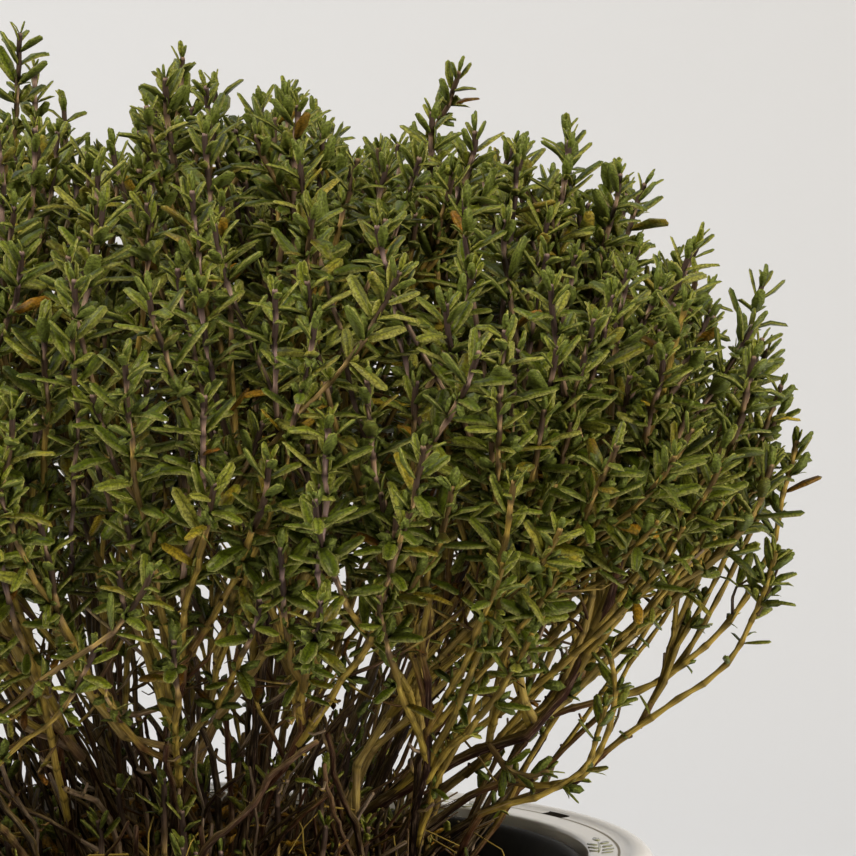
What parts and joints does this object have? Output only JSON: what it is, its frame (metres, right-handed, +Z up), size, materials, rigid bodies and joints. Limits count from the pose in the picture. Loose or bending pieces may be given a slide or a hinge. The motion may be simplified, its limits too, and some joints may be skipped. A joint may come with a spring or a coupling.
{
  "type": "potted thyme",
  "caption": "Bushy thyme with woody stems and small grey-green leaves, growing in a plastic nursery pot inside a glazed white cover pot.",
  "frame": {"origin": "centre of the cover pot's flat base, on the surface that it stands on", "axes": "+Z up along the axis of both pots; -Y is the side of the bush that is seen from the front; +X is its right, where the low stems lean out over the rim"},
  "size_m": [0.2103, 0.1994, 0.2761],
  "materials": {
    "glazed_stoneware": "gloss",
    "black_plastic": "matte",
    "potting_compost": "matte",
    "thyme_leaf": "matte",
    "thyme_bark": "matte",
    "dry_litter": "matte"
  },
  "bodies": {
    "root": {"cover_pot": "glazed_stoneware", "nursery_pot": "black_plastic", "potting_soil": "potting_compost", "stem_01": "thyme_leaf", "stem_02": "thyme_leaf", "stem_03": "thyme_leaf", "stem_04": "thyme_leaf", "stem_05": "thyme_leaf", "stem_06": "thyme_leaf", "stem_07": "thyme_leaf", "stem_08": "thyme_leaf", "stem_09": "thyme_leaf", "stem_10": "thyme_leaf", "stem_11": "thyme_leaf", "stem_12": "thyme_leaf", "stem_13": "thyme_leaf", "stem_14": "thyme_leaf", "stem_15": "thyme_leaf", "stem_16": "thyme_leaf", "stem_17": "thyme_leaf", "stem_18": "thyme_leaf", "stem_19": "thyme_leaf", "stem_front_left": "thyme_leaf", "stem_front_middle": "thyme_leaf", "stem_front_right": "thyme_leaf", "stem_front_upright": "thyme_leaf", "stem_low_drooping": "thyme_leaf", "stem_low_hooked": "thyme_leaf", "stem_low_right": "thyme_leaf", "stem_old_leaning": "thyme_leaf", "stem_outer_right": "thyme_leaf"}
  },
  "joints": []
}
